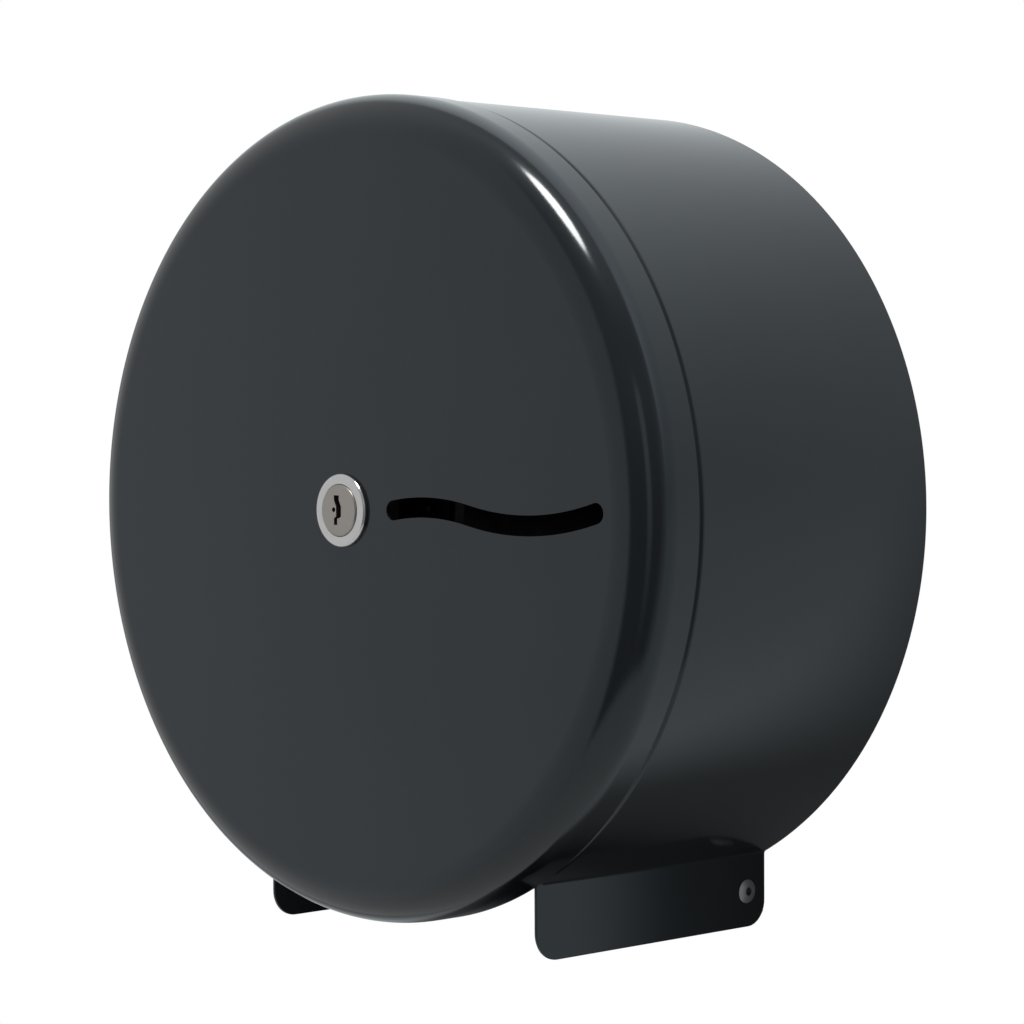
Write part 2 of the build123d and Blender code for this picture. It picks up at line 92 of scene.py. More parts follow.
def take(piece):
    """Makes one piece the active, selected one."""
    clear_selection()
    piece.select_set(True)
    bpy.context.view_layer.objects.active = piece


def settle(name):
    """Names the active piece and puts its place, turn and scale into its mesh."""
    bpy.ops.object.transform_apply(location=True, rotation=True, scale=True)
    piece = bpy.context.active_object
    piece.name = name
    piece.data.name = name
    return piece


def pick(piece, kind, test):
    """In edit mode, selects the verts, edges or faces whose every corner passes the test."""
    bpy.ops.mesh.select_mode(type=kind)
    bpy.ops.mesh.select_all(action="DESELECT")
    mesh = bmesh.from_edit_mesh(piece.data)
    if kind == "VERT":
        for vert in mesh.verts:
            vert.select_set(test(vert.co))
    else:
        for element in mesh.edges if kind == "EDGE" else mesh.faces:
            element.select_set(all(test(vert.co) for vert in element.verts))
    bmesh.update_edit_mesh(piece.data)


def recalculate(piece):
    """Merges doubled points and points every face outwards."""
    take(piece)
    bpy.ops.object.mode_set(mode="EDIT")
    bpy.ops.mesh.select_all(action="SELECT")
    bpy.ops.mesh.remove_doubles(threshold=NEAR / 4)
    bpy.ops.mesh.normals_make_consistent(inside=False)
    bpy.ops.object.mode_set(mode="OBJECT")


def apply_modifier(piece, modifier):
    """Applies one modifier for good."""
    take(piece)
    bpy.ops.object.modifier_apply(modifier=modifier.name)


def combine(piece, other, operation="DIFFERENCE"):
    """Cuts, joins or intersects a piece with another, which is used up."""
    modifier = piece.modifiers.new("combine", "BOOLEAN")
    modifier.operation = operation
    modifier.solver = "EXACT"
    modifier.object = other
    apply_modifier(piece, modifier)
    bpy.data.objects.remove(other)


def thicken(piece, wall):
    """Gives an open skin its wall, inwards from the outside."""
    modifier = piece.modifiers.new("wall", "SOLIDIFY")
    modifier.thickness = wall
    modifier.offset = -1
    modifier.use_even_offset = True
    modifier.use_quality_normals = True
    apply_modifier(piece, modifier)


def finish_edges(piece, radius, segments=3):
    """Rounds the sharp edges and shades the rest smoothly, with flat faces kept flat."""
    if radius:
        modifier = piece.modifiers.new("edges", "BEVEL")
        modifier.width = radius
        modifier.segments = segments
        modifier.limit_method = "ANGLE"
        modifier.angle_limit = SHARP_ANGLE
        modifier.use_clamp_overlap = True
        apply_modifier(piece, modifier)
    take(piece)
    bpy.ops.object.shade_smooth_by_angle(angle=SHARP_ANGLE)
    modifier = piece.modifiers.new("flats", "WEIGHTED_NORMAL")
    modifier.keep_sharp = True
    apply_modifier(piece, modifier)


def block(name, low, high):
    """Box between two corners, used as a cutter."""
    clear_selection()
    middle = (Vector(low) + Vector(high)) / 2
    bpy.ops.mesh.primitive_cube_add(size=1, location=middle, scale=Vector(high) - Vector(low))
    return settle(name)


def rod(name, radius, low, high, steps=SMALL_STEPS):
    """Round bar between two points on a line along X or Y, used as a cutter or a blank."""
    clear_selection()
    low, high = Vector(low), Vector(high)
    along_x = high.x - low.x > high.y - low.y
    bpy.ops.mesh.primitive_cylinder_add(
        vertices=steps,
        radius=radius,
        depth=(high - low).length,
        location=(low + high) / 2,
        rotation=(0, math.radians(90), 0) if along_x else (math.radians(90), 0, 0),
    )
    return settle(name)


def turned(name, profile, steps=ROUND_STEPS, closed=False):
    """Piece turned about the roll's axis: a circle drawn out ring by ring through (radius, y) corners.

    An open profile is capped at both ends; a closed one joins its last ring to its first.
    """
    radius, y = profile[0]
    clear_selection()
    bpy.ops.mesh.primitive_circle_add(
        vertices=steps, radius=radius, location=(0, y, 0), rotation=(math.radians(90), 0, 0)
    )
    piece = settle(name)
    bpy.ops.object.mode_set(mode="EDIT")
    bpy.ops.mesh.select_all(action="SELECT")
    for next_radius, next_y in profile[1:]:
        bpy.ops.mesh.extrude_edges_move(TRANSFORM_OT_translate={"value": (0, next_y - y, 0)})
        share = next_radius / radius
        bpy.ops.transform.resize(value=(share, 1, share), center_override=(0, next_y, 0))
        radius, y = next_radius, next_y
    bpy.ops.mesh.select_all(action="DESELECT")
    bpy.ops.mesh.select_mode(type="EDGE")
    bpy.ops.mesh.select_non_manifold(extend=False)
    if closed:
        bpy.ops.mesh.bridge_edge_loops()
    else:
        bpy.ops.mesh.edge_face_add()
    recalculate(piece)
    return piece


def arc_profile(centre, radius, start, end, steps):
    """(radius, y) points along an arc, between two angles in degrees from +radius towards -Y."""
    points = []
    for number in range(steps + 1):
        angle = math.radians(start + (end - start) * number / steps)
        points.append((centre[0] + radius * math.cos(angle), centre[1] - radius * math.sin(angle)))
    return points


def dress(piece, body, slot, *nodes):
    """Gives a finished piece its slot's material and its body, and hides the frame nodes it stands for.
    """
    piece.data.materials.clear()
    piece.data.materials.append(bpy.data.materials[SLOT_FINISHES[slot]])
    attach(piece, body)
    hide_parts(*nodes)


# ---- shader groups ----
RISE, FALL = (0.0, 1.0), (1.0, 0.0)  # levels of a ramp
GRIT_SHARE = 0.15  # height of the paint's grit against its orange peel
# noise levels between which a handling mark or a scuff comes up
SMEAR_EDGES = (0.42, 0.68)
SCUFF_EDGES = (0.5, 0.7)


class Shader:
    """Short way to add and join nodes in one tree."""

    def __init__(self, tree):
        self.tree = tree

    def add(self, kind, inputs=(), **settings):
        """A node with its settings, and its inputs set or linked by name or number."""
        node = self.tree.nodes.new(kind)
        for key, value in settings.items():
            setattr(node, key, value)
        for key, value in dict(inputs).items():
            if isinstance(value, bpy.types.NodeSocket):
                self.tree.links.new(value, node.inputs[key])
            else:
                node.inputs[key].default_value = value
        return node

    def math(self, operation, first, second=0.0):
        """Result of one Math node."""
        return self.add("ShaderNodeMath", {0: first, 1: second}, operation=operation).outputs[0]

    def product(self, first, *others):
        """Values multiplied one after another."""
        for other in others:
            first = self.math("MULTIPLY", first, other)
        return first

    def hypotenuse(self, first, second):
        """Length of two values at right angles."""
        squares = [self.math("MULTIPLY", value, value) for value in (first, second)]
        return self.math("SQRT", self.math("ADD", *squares))

    def per_mm(self, size):
        """Scale that makes a noise's features as big as a size in millimetres."""
        return self.math("DIVIDE", 1 / MM, size)

    def smooth_step(self, value, low, high, start=0.0, end=1.0):
        """Smooth ramp of a value from low to high."""
        inputs = {"Value": value, "From Min": low, "From Max": high, "To Min": start, "To Max": end}
        ramp = self.add("ShaderNodeMapRange", inputs, interpolation_type="SMOOTHSTEP")
        return ramp.outputs["Result"]


def new_group(name, inputs, outputs):
    """Empty shader group: float inputs with their defaults, and float outputs by name."""
    group = bpy.data.node_groups.new(name, "ShaderNodeTree")
    for label, default in inputs.items():
        socket = group.interface.new_socket(name=label, in_out="INPUT", socket_type="NodeSocketFloat")
        socket.default_value = default
    for label in outputs:
        group.interface.new_socket(name=label, in_out="OUTPUT", socket_type="NodeSocketFloat")
    shader = Shader(group)
    return group, shader, group.nodes.new("NodeGroupInput"), group.nodes.new("NodeGroupOutput")


def paint_surface_group():
    """Sprayed paint: the height of its orange peel and fine grit, and a mask of handling marks."""
    inputs = {"Peel Size": 1.6, "Grit Size": 0.25, "Smear Size": 60.0}
    group, shader, given, made = new_group("paint_surface", inputs, ("Height", "Smears"))
    place = shader.add("ShaderNodeTexCoord").outputs["Object"]
    peel_scale = shader.per_mm(given.outputs["Peel Size"])
    grit_scale = shader.per_mm(given.outputs["Grit Size"])
    smear_scale = shader.per_mm(given.outputs["Smear Size"])
    peel = shader.add("ShaderNodeTexNoise", {"Vector": place, "Scale": peel_scale, "Detail": 1.0})
    grit = shader.add("ShaderNodeTexNoise", {"Vector": place, "Scale": grit_scale, "Detail": 2.0})
    smears = shader.add("ShaderNodeTexNoise", {"Vector": place, "Scale": smear_scale, "Detail": 4.0})
    fine = shader.math("MULTIPLY", grit.outputs["Fac"], GRIT_SHARE)
    height = shader.math("ADD", peel.outputs["Fac"], fine)
    shader.tree.links.new(height, made.inputs["Height"])
    shader.tree.links.new(shader.smooth_step(smears.outputs["Fac"], *SMEAR_EDGES), made.inputs["Smears"])
    return group


def turned_metal_group():
    """Turned metal: the height of fine rings about the lock's axis, and mottling of its tone."""
    inputs = {"Pitch": 0.12, "Mottle Size": 4.0}
    group, shader, given, made = new_group("turned_metal", inputs, ("Height", "Mottle"))
    place = shader.add("ShaderNodeTexCoord").outputs["Object"]
    split = shader.add("ShaderNodeSeparateXYZ", {"Vector": place})
    radius = shader.hypotenuse(split.outputs["X"], split.outputs["Z"])
    rings = shader.math("DIVIDE", shader.math("DIVIDE", radius, MM), given.outputs["Pitch"])
    inputs = {"W": rings, "Scale": 1.0, "Detail": 2.0}
    grooves = shader.add("ShaderNodeTexNoise", inputs, noise_dimensions="1D")
    mottle_scale = shader.per_mm(given.outputs["Mottle Size"])
    mottle = shader.add("ShaderNodeTexNoise", {"Vector": place, "Scale": mottle_scale, "Detail": 3.0})
    shader.tree.links.new(grooves.outputs["Fac"], made.inputs["Height"])
    shader.tree.links.new(mottle.outputs["Fac"], made.inputs["Mottle"])
    return group


def moulded_plastic_group():
    """Moulded plastic: the height of its fine texture and a mask of scuffs."""
    inputs = {"Texture Size": 0.5, "Scuff Size": 12.0}
    group, shader, given, made = new_group("moulded_plastic", inputs, ("Height", "Scuffs"))
    place = shader.add("ShaderNodeTexCoord").outputs["Object"]
    fine_scale = shader.per_mm(given.outputs["Texture Size"])
    scuff_scale = shader.per_mm(given.outputs["Scuff Size"])
    fine = shader.add("ShaderNodeTexVoronoi", {"Vector": place, "Scale": fine_scale})
    scuffs = shader.add("ShaderNodeTexNoise", {"Vector": place, "Scale": scuff_scale, "Detail": 5.0})
    shader.tree.links.new(fine.outputs["Distance"], made.inputs["Height"])
    shader.tree.links.new(shader.smooth_step(scuffs.outputs["Fac"], *SCUFF_EDGES), made.inputs["Scuffs"])
    return group


# ---- materials ----
PAINT_IOR = 1.48
PAINT_SHEEN = (0.79, 0.906, 1.0, 1)  # cool tint of what the paint reflects
SMEAR_TONE, SMEAR_ROUGH = 1.25, 1.15  # a handling mark's tone and roughness, times the paint's
MOTTLE_EDGES = (0.3, 0.7)  # noise levels between which a metal goes from clean to dull
CLEAN_ROUGH, DULL_ROUGH = 0.85, 1.2  # times the metal's roughness
SCUFF_ROUGH = 1.2  # times the plastic's roughness


def new_material(name):
    """Material with a Principled shader, its node helper and that shader."""
    material = bpy.data.materials.new(name)
    material.use_nodes = True
    shader = Shader(material.node_tree)
    principled = next(n for n in material.node_tree.nodes if n.type == "BSDF_PRINCIPLED")
    return material, shader, principled


def varied_colour(shader, principled, mask, colour, marked):
    """Base colour that goes from one tone to another by a mask."""
    mix = shader.add("ShaderNodeMix", {"Factor": mask}, data_type="RGBA")
    mix.inputs["A"].default_value = (*colour, 1)
    mix.inputs["B"].default_value = (*marked, 1)
    shader.tree.links.new(mix.outputs["Result"], principled.inputs["Base Color"])


def bumped(shader, principled, height, depth):
    """Surface relief of a real depth."""
    bump = shader.add("ShaderNodeBump", {"Height": height, "Distance": depth, "Strength": 1.0})
    shader.tree.links.new(bump.outputs["Normal"], principled.inputs["Normal"])


def paint(name, group, colour, roughness, peel_depth):
    """Sprayed and baked paint."""
    _, shader, principled = new_material(name)
    surface = shader.add("ShaderNodeGroup", node_tree=group)
    smears = surface.outputs["Smears"]
    varied_colour(shader, principled, smears, colour, [SMEAR_TONE * c for c in colour])
    rough = shader.smooth_step(smears, 0.0, 1.0, roughness, SMEAR_ROUGH * roughness)
    shader.tree.links.new(rough, principled.inputs["Roughness"])
    principled.inputs["IOR"].default_value = PAINT_IOR
    principled.inputs["Specular Tint"].default_value = PAINT_SHEEN
    bumped(shader, principled, surface.outputs["Height"], peel_depth)


def metal(name, group, colour, dull, roughness, groove_depth):
    """Bare or plated metal with fine turning rings and a mottled tone."""
    _, shader, principled = new_material(name)
    surface = shader.add("ShaderNodeGroup", node_tree=group)
    principled.inputs["Metallic"].default_value = 1.0
    varied_colour(shader, principled, surface.outputs["Mottle"], colour, dull)
    rough_range = CLEAN_ROUGH * roughness, DULL_ROUGH * roughness
    rough = shader.smooth_step(surface.outputs["Mottle"], *MOTTLE_EDGES, *rough_range)
    shader.tree.links.new(rough, principled.inputs["Roughness"])
    bumped(shader, principled, surface.outputs["Height"], groove_depth)


def plastic(name, group, colour, scuffed, roughness, texture_depth):
    """Moulded plastic with light scuffs."""
    _, shader, principled = new_material(name)
    surface = shader.add("ShaderNodeGroup", node_tree=group)
    varied_colour(shader, principled, surface.outputs["Scuffs"], colour, scuffed)
    rough = shader.smooth_step(surface.outputs["Scuffs"], 0.0, 1.0, roughness, SCUFF_ROUGH * roughness)
    shader.tree.links.new(rough, principled.inputs["Roughness"])
    bumped(shader, principled, surface.outputs["Height"], texture_depth)


# ---- what a user would change ----
class DispenserSizes(bpy.types.PropertyGroup):
    """Sizes of the modelled shells that the frame's boxes don't give."""

    sheet: FloatProperty(
        name="Sheet", description="Thickness of the casing's steel", default=1.0 * MM, unit="LENGTH"
    )
    brim_radius: FloatProperty(
        name="Pan Edge",
        description="Outside radius of the pan's rolled edge",
        default=13.5 * MM,
        unit="LENGTH",
    )
    tab_spread: FloatProperty(
        name="Tab Spread",
        description="Across the outside of the hinge tabs",
        default=125 * MM,
        unit="LENGTH",
    )
    tab_front_radius: FloatProperty(
        name="Tab Front", description="Radius of a tab's front corner", default=9 * MM, unit="LENGTH"
    )
    tab_rear_radius: FloatProperty(
        name="Tab Rear", description="Radius of a tab's rear corner", default=8 * MM, unit="LENGTH"
    )
    fold_radius: FloatProperty(
        name="Fold", description="Outside radius of the tabs' folds", default=1.2 * MM, unit="LENGTH"
    )
    joggle: FloatProperty(
        name="Joggle",
        description="How far the drum wall steps out behind the pan's skirt",
        default=0.8 * MM,
        unit="LENGTH",
    )
    slot_width: FloatProperty(
        name="Slot Width", description="Width of the viewing slot", default=6.15 * MM, unit="LENGTH"
    )
    edge_steps: IntProperty(
        name="Edge Steps", description="Faces across the pan's rolled edge", default=20, min=4, max=48
    )


class DispenserColours(bpy.types.PropertyGroup):
    """Colours of the finishes, linear."""

    paint: FloatVectorProperty(
        name="Paint", description="Graphite paint", default=(0.004, 0.005, 0.006), size=3, subtype="COLOR"
    )
    chrome: FloatVectorProperty(
        name="Chrome",
        description="Chromed lock ring",
        default=(0.55, 0.55, 0.555),
        size=3,
        subtype="COLOR",
    )
    nickel: FloatVectorProperty(
        name="Nickel", description="Satin key plug", default=(0.30, 0.285, 0.27), size=3, subtype="COLOR"
    )
    floor: FloatVectorProperty(
        name="Floor", description="Pale floor", default=(0.74, 0.74, 0.74), size=3, subtype="COLOR"
    )


def sizes():
    """The scene's sizes."""
    return bpy.context.scene.dispenser_sizes


def colours():
    """The scene's colours."""
    return bpy.context.scene.dispenser_colours


# ---- pieces ----
# rounding of each shell's sharp edges
PAN_SOFT, DRUM_SOFT, PLUG_SOFT, RIVET_SOFT = 0.22 * MM, 0.2 * MM, 0.08 * MM, 0.12 * MM
PAN_INSET = 0.5 * MM  # keeps the flat face clear of the rolled edge's shading
SLOT_START = (23.3 * MM, 0.4 * MM)
SLOT_START_ANGLE = math.radians(9.2)
SLOT_CREST_R, SLOT_CREST_TURN = 89 * MM, math.radians(21.6)
SLOT_TROUGH_R, SLOT_TROUGH_TURN = 109.5 * MM, math.radians(28.3)
SLOT_STEPS = 20
LOCK_HOLE_CLEAR = 0.15 * MM
BARREL_R, BARREL_FLATS = 9.5 * MM, 16.5 * MM
TAB_STEP = 0.2 * MM  # a tab's front edge behind the pan's skirt
CORNER_STEPS, FOLD_STEPS = 12, 6
# where the drum wall's inward step starts and ends
JOGGLE_REAR_Y, JOGGLE_FRONT_Y = SKIRT_Y + 3.0 * MM, SKIRT_Y + 0.8 * MM
JOGGLE_STEPS = 6
RING_BEVEL, RING_BEVEL_STEPS = 0.9 * MM, 8
RING_BACK_CHAMFER = 0.1 * MM
RING_FACE_Y = RING_FRONT_Y + 0.45 * MM  # the ring's face lies behind the plug's
BORE_CHAMFER = 0.12 * MM
PLUG_GAP = 0.09 * MM
PLUG_HEAD_H, PLUG_CHAMFER = 2.6 * MM, 0.35 * MM
PLUG_BODY_R = 6.3 * MM
KEYWAY_W, KEYWAY_X, KEYWAY_TOP = 2.3 * MM, -0.9 * MM, 4.7 * MM
KEYWAY_SHIFT = 1.0 * MM
KEYWAY_DROPS = (1.5 * MM, 2.0 * MM, 3.1 * MM, 0.6 * MM)
KEYWAY_OVERLAP = 0.05 * MM
KEYWAY_FOOT_H, KEYWAY_WARD_DEPTH = 2.1 * MM, 0.3 * MM
KEYWAY_NUB_R, KEYWAY_NUB_X, KEYWAY_NUB_Z = 0.75 * MM, -2.2 * MM, 0.2 * MM
KEYWAY_DEPTH = 9 * MM
CAM_FRONT_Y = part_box("lock_cam")[0].y
SHANK_SIDE = 7 * MM
CAM_SCREW_R, CAM_SCREW_DEPTH = 2.42 * MM, 7 * MM
RIVET_SHANK_R, RIVET_HOLE_R = 2.0 * MM, 2.05 * MM
RIVET_HEAD_R, RIVET_HEAD_H, RIVET_LAND = 3.9 * MM, 1.2 * MM, 0.3 * MM
RIVET_BORE_R, RIVET_BORE_DEPTH = 1.35 * MM, 3.2 * MM
RIVET_BORE_END_R, RIVET_BORE_LIP = 0.9 * RIVET_BORE_R, RIVET_BORE_R / 10
RIVET_DOME_STEPS = 10
RIVET_BULB_R = 2.9 * MM
RIVET_HEAD_FOOT = 62.6 * MM  # from the middle of the dispenser to the head's seat
RIVET_BULB_TOP, RIVET_BULB_END = 59.1 * MM, 55.9 * MM


def slot_cutter(width, y_low, y_high):
    """The wave-shaped slot: a half circle, two arcs swung about their centres, a closing half circle."""
    start = Vector((SLOT_START[0], 0, SLOT_START[1]))
    ahead = Vector((math.cos(SLOT_START_ANGLE), 0, math.sin(SLOT_START_ANGLE)))
    up = Vector((-ahead.z, 0, ahead.x))
    crest_centre = start - up * SLOT_CREST_R
    crest_turn = Matrix.Rotation(SLOT_CREST_TURN, 3, "Y")
    middle = crest_centre + crest_turn @ (start - crest_centre)
    trough_centre = middle + (crest_turn @ up) * SLOT_TROUGH_R
    trough_turn = Matrix.Rotation(-SLOT_TROUGH_TURN, 3, "Y")
    end = trough_centre + trough_turn @ (middle - trough_centre)

    clear_selection()
    bpy.ops.mesh.primitive_circle_add(
        vertices=SMALL_STEPS,
        radius=width / 2,
        location=(start.x, y_low, start.z),
        rotation=(math.radians(90), -SLOT_START_ANGLE, 0),
    )
    cutter = settle("slot_cutter")
    bpy.ops.object.mode_set(mode="EDIT")

    def beyond(point, limit):
        return (point - start).dot(ahead) > limit

    pick(cutter, "VERT", lambda p: beyond(p, NEAR))
    bpy.ops.mesh.delete(type="VERT")
    pick(cutter, "VERT", lambda p: beyond(p, -NEAR))
    for centre, turn in ((crest_centre, -SLOT_CREST_TURN), (trough_centre, SLOT_TROUGH_TURN)):
        pivot = (centre.x, y_low, centre.z)
        bpy.ops.mesh.spin(steps=SLOT_STEPS, angle=turn, center=pivot, axis=(0, 1, 0))
    mesh = bmesh.from_edit_mesh(cutter.data)
    last = [vert for vert in mesh.verts if vert.select]
    lower = min(last, key=lambda vert: vert.co.z)
    for vert in last:
        vert.select_set(vert == lower)
    bmesh.update_edit_mesh(cutter.data)
    bpy.ops.mesh.spin(
        steps=SMALL_STEPS // 2, angle=math.pi, center=(end.x, y_low, end.z), axis=(0, 1, 0)
    )
    bpy.ops.mesh.select_all(action="SELECT")
    bpy.ops.mesh.remove_doubles(threshold=NEAR)
    bpy.ops.mesh.edge_face_add()
    bpy.ops.mesh.extrude_region_move(TRANSFORM_OT_translate={"value": (0, y_high - y_low, 0)})
    recalculate(cutter)
    return cutter


def double_d(name, radius, flats, y_low, y_high):
    """Round bar with two flats, as the lock's barrel has."""
    bar = rod(name, radius, (0, y_low, 0), (0, y_high, 0), ROUND_STEPS)
    low = (-flats / 2, y_low - MM, -2 * radius)
    high = (flats / 2, y_high + MM, 2 * radius)
    combine(bar, block("flats", low, high), "INTERSECT")
    return bar


class DISPENSER_OT_cover_pan(bpy.types.Operator):
    """Models the front pan: a drum blank with its rim rolled over, hollowed, slotted and softened"""

    bl_idname = "dispenser.cover_pan"
    bl_label = "Front Pan"

    def execute(self, context):
        s = sizes()
        clear_selection()
        bpy.ops.mesh.primitive_cylinder_add(
            vertices=PAN_STEPS,
            radius=PAN_R,
            depth=SKIRT_Y - BRIM_Y,
            location=(0, (SKIRT_Y + BRIM_Y) / 2, 0),
            rotation=(math.radians(90), 0, 0),
        )
        pan = settle("cover_pan")
        bpy.ops.object.mode_set(mode="EDIT")
        pick(pan, "FACE", lambda p: p.y > SKIRT_Y - NEAR)
        bpy.ops.mesh.delete(type="ONLY_FACE")
        pick(pan, "EDGE", lambda p: p.y < BRIM_Y + NEAR)
        bpy.ops.mesh.bevel(offset=s.brim_radius, segments=s.edge_steps, profile=0.5, affect="EDGES")
        flat_r = PAN_R - s.brim_radius + NEAR
        pick(pan, "FACE", lambda p: p.y < BRIM_Y + NEAR and math.hypot(p.x, p.z) < flat_r)
        bpy.ops.mesh.inset(thickness=PAN_INSET)
        bpy.ops.object.mode_set(mode="OBJECT")
        thicken(pan, s.sheet)
        y_low, y_high = BRIM_Y - MM, BRIM_Y + s.sheet + MM
        clear = LOCK_HOLE_CLEAR
        combine(pan, double_d("lock_hole", BARREL_R + clear, BARREL_FLATS + 2 * clear, y_low, y_high))
        combine(pan, slot_cutter(s.slot_width, y_low, y_high))
        finish_edges(pan, PAN_SOFT)
        dress(pan, "cover", "casing_paint", "front_pan")
        return {"FINISHED"}


def joggle_wall(shell, seen_r, tab_x, fold_z, front_y):
    """In edit mode, draws the wall's front in to its nested size through a soft S, tabs kept flat."""
    rings = []
    for number in range(JOGGLE_STEPS + 1):
        share = number / JOGGLE_STEPS
        y = JOGGLE_REAR_Y + (JOGGLE_FRONT_Y - JOGGLE_REAR_Y) * share
        rings.append((y, seen_r - (seen_r - DRUM_R) * (1 - math.cos(math.pi * share)) / 2))
        pick(shell, "FACE", lambda p: p.z > fold_z - NEAR)
        bpy.ops.mesh.bisect(plane_co=(0, y, 0), plane_no=(0, 1, 0))
    for y, radius in [*rings[1:], (front_y, DRUM_R)]:
        pick(shell, "VERT", lambda p: abs(p.y - y) < NEAR and p.z > fold_z - NEAR)
        share = radius / seen_r
        bpy.ops.transform.resize(value=(share, 1, share), center_override=(0, y, 0))
        for x in (-tab_x, tab_x):
            pick(shell, "VERT", lambda p: (p - Vector((share * x, y, share * fold_z))).length < NEAR)
            rise = -math.sqrt(radius**2 - tab_x**2) - share * fold_z
            bpy.ops.transform.translate(value=((1 - share) * x, 0, rise))


class DISPENSER_OT_drum_shell(bpy.types.Operator):
    """Models the rolled strip behind the pan, with its two folded hinge tabs"""

    bl_idname = "dispenser.drum_shell"
    bl_label = "Drum Wall"

    def execute(self, context):
        s = sizes()
        tab_x = s.tab_spread / 2
        seen_r = DRUM_R + s.joggle
        fold_angle = math.asin(tab_x / seen_r)
        fold_z = -seen_r * math.cos(fold_angle)
        nested_fold_z = -math.sqrt(DRUM_R**2 - tab_x**2)
        tab_front_y = SKIRT_Y + TAB_STEP
        tab_h = fold_z - TAB_LOW_Z
        clear_selection()
        bpy.ops.mesh.primitive_plane_add(
            size=tab_h,
            location=(tab_x + tab_h / 2, DRUM_REAR_Y, TAB_LOW_Z + tab_h / 2),
            rotation=(math.radians(90), 0, 0),
        )
        shell = settle("drum_shell")
        bpy.ops.object.mode_set(mode="EDIT")
        pick(shell, "VERT", lambda p: p.x > tab_x + NEAR)
        bpy.ops.mesh.delete(type="VERT")
        pick(shell, "VERT", lambda p: p.z > fold_z - NEAR)
        sweep = 2 * (math.pi - fold_angle)
        bpy.ops.mesh.spin(steps=STRIP_STEPS, angle=sweep, center=(0, DRUM_REAR_Y, 0), axis=(0, 1, 0))
        bpy.ops.mesh.extrude_region_move(TRANSFORM_OT_translate={"value": (0, 0, -tab_h)})
        bpy.ops.mesh.select_all(action="SELECT")
        bpy.ops.mesh.extrude_region_move(
            TRANSFORM_OT_translate={"value": (0, tab_front_y - DRUM_REAR_Y, 0)}
        )
        joggle_wall(shell, seen_r, tab_x, fold_z, tab_front_y)
        pick(shell, "VERT", lambda p: p.y < tab_front_y + NEAR and p.z > nested_fold_z - NEAR)
        bpy.ops.mesh.extrude_region_move(
            TRANSFORM_OT_translate={"value": (0, DRUM_FRONT_Y - tab_front_y, 0)}
        )

        def at_tab(p, y, z):
            return abs(abs(p.x) - tab_x) < NEAR and abs(p.y - y) < NEAR and abs(p.z - z) < NEAR

        def at_fold(p):
            in_tab = abs(abs(p.x) - tab_x) < NEAR and p.y > tab_front_y - NEAR
            return in_tab and fold_z - NEAR < p.z < nested_fold_z + NEAR

        for y, radius in ((tab_front_y, s.tab_front_radius), (DRUM_REAR_Y, s.tab_rear_radius)):
            pick(shell, "VERT", lambda p: at_tab(p, y, TAB_LOW_Z))
            bpy.ops.mesh.bevel(offset=radius, segments=CORNER_STEPS, affect="VERTICES")
        pick(shell, "EDGE", at_fold)
        fold_turn = math.radians(90) - fold_angle
        bpy.ops.mesh.bevel(offset=s.fold_radius * math.tan(fold_turn / 2), segments=FOLD_STEPS)
        bpy.ops.object.mode_set(mode="OBJECT")
        recalculate(shell)
        thicken(shell, s.sheet)
        left, right = (-PAN_R, HINGE_Y, HINGE_Z), (PAN_R, HINGE_Y, HINGE_Z)
        combine(shell, rod("hinge_hole", RIVET_HOLE_R, left, right))
        finish_edges(shell, DRUM_SOFT)
        dress(shell, "cover", "casing_paint", "drum_wall")
        return {"FINISHED"}


class DISPENSER_OT_lock_ring(bpy.types.Operator):
    """Turns the lock's flanged barrel, with a satin face and a polished side"""

    bl_idname = "dispenser.lock_ring"
    bl_label = "Lock Ring"

    def execute(self, context):
        bore_r = PLUG_R + PLUG_GAP
        body_bore_r = PLUG_BODY_R + PLUG_GAP
        seat_y = PLUG_FRONT_Y + PLUG_HEAD_H + PLUG_GAP
        bevel_centre = (RING_R - RING_BEVEL, RING_FACE_Y + RING_BEVEL)
        profile = [
            (bore_r + BORE_CHAMFER, RING_FACE_Y),
            (RING_R - RING_BEVEL, RING_FACE_Y),
            *arc_profile(bevel_centre, RING_BEVEL, 90, 0, RING_BEVEL_STEPS)[1:],
            (RING_R, BRIM_Y - RING_BACK_CHAMFER),
            (RING_R - RING_BACK_CHAMFER, BRIM_Y),
            (BARREL_R, BRIM_Y),
            (BARREL_R, BARREL_REAR_Y),
            (body_bore_r, BARREL_REAR_Y),
            (body_bore_r, seat_y),
            (bore_r, seat_y),
            (bore_r, RING_FACE_Y + BORE_CHAMFER),
        ]
        ring = turned("lock_ring", profile, closed=True)
        for side in (-1, 1):
            near, far = sorted((side * BARREL_FLATS / 2, side * 2 * BARREL_R))
            low, high = (near, BRIM_Y, -2 * BARREL_R), (far, BARREL_REAR_Y + MM, 2 * BARREL_R)
            combine(ring, block("flat", low, high))
        finish_edges(ring, 0)
        dress(ring, "cover", "lock_chrome", "lock_housing")
        ring.data.materials.append(bpy.data.materials["turned_chrome"])
        for face in ring.data.polygons:
            if face.center.y < RING_FACE_Y + NEAR:
                face.material_index = 1
        return {"FINISHED"}


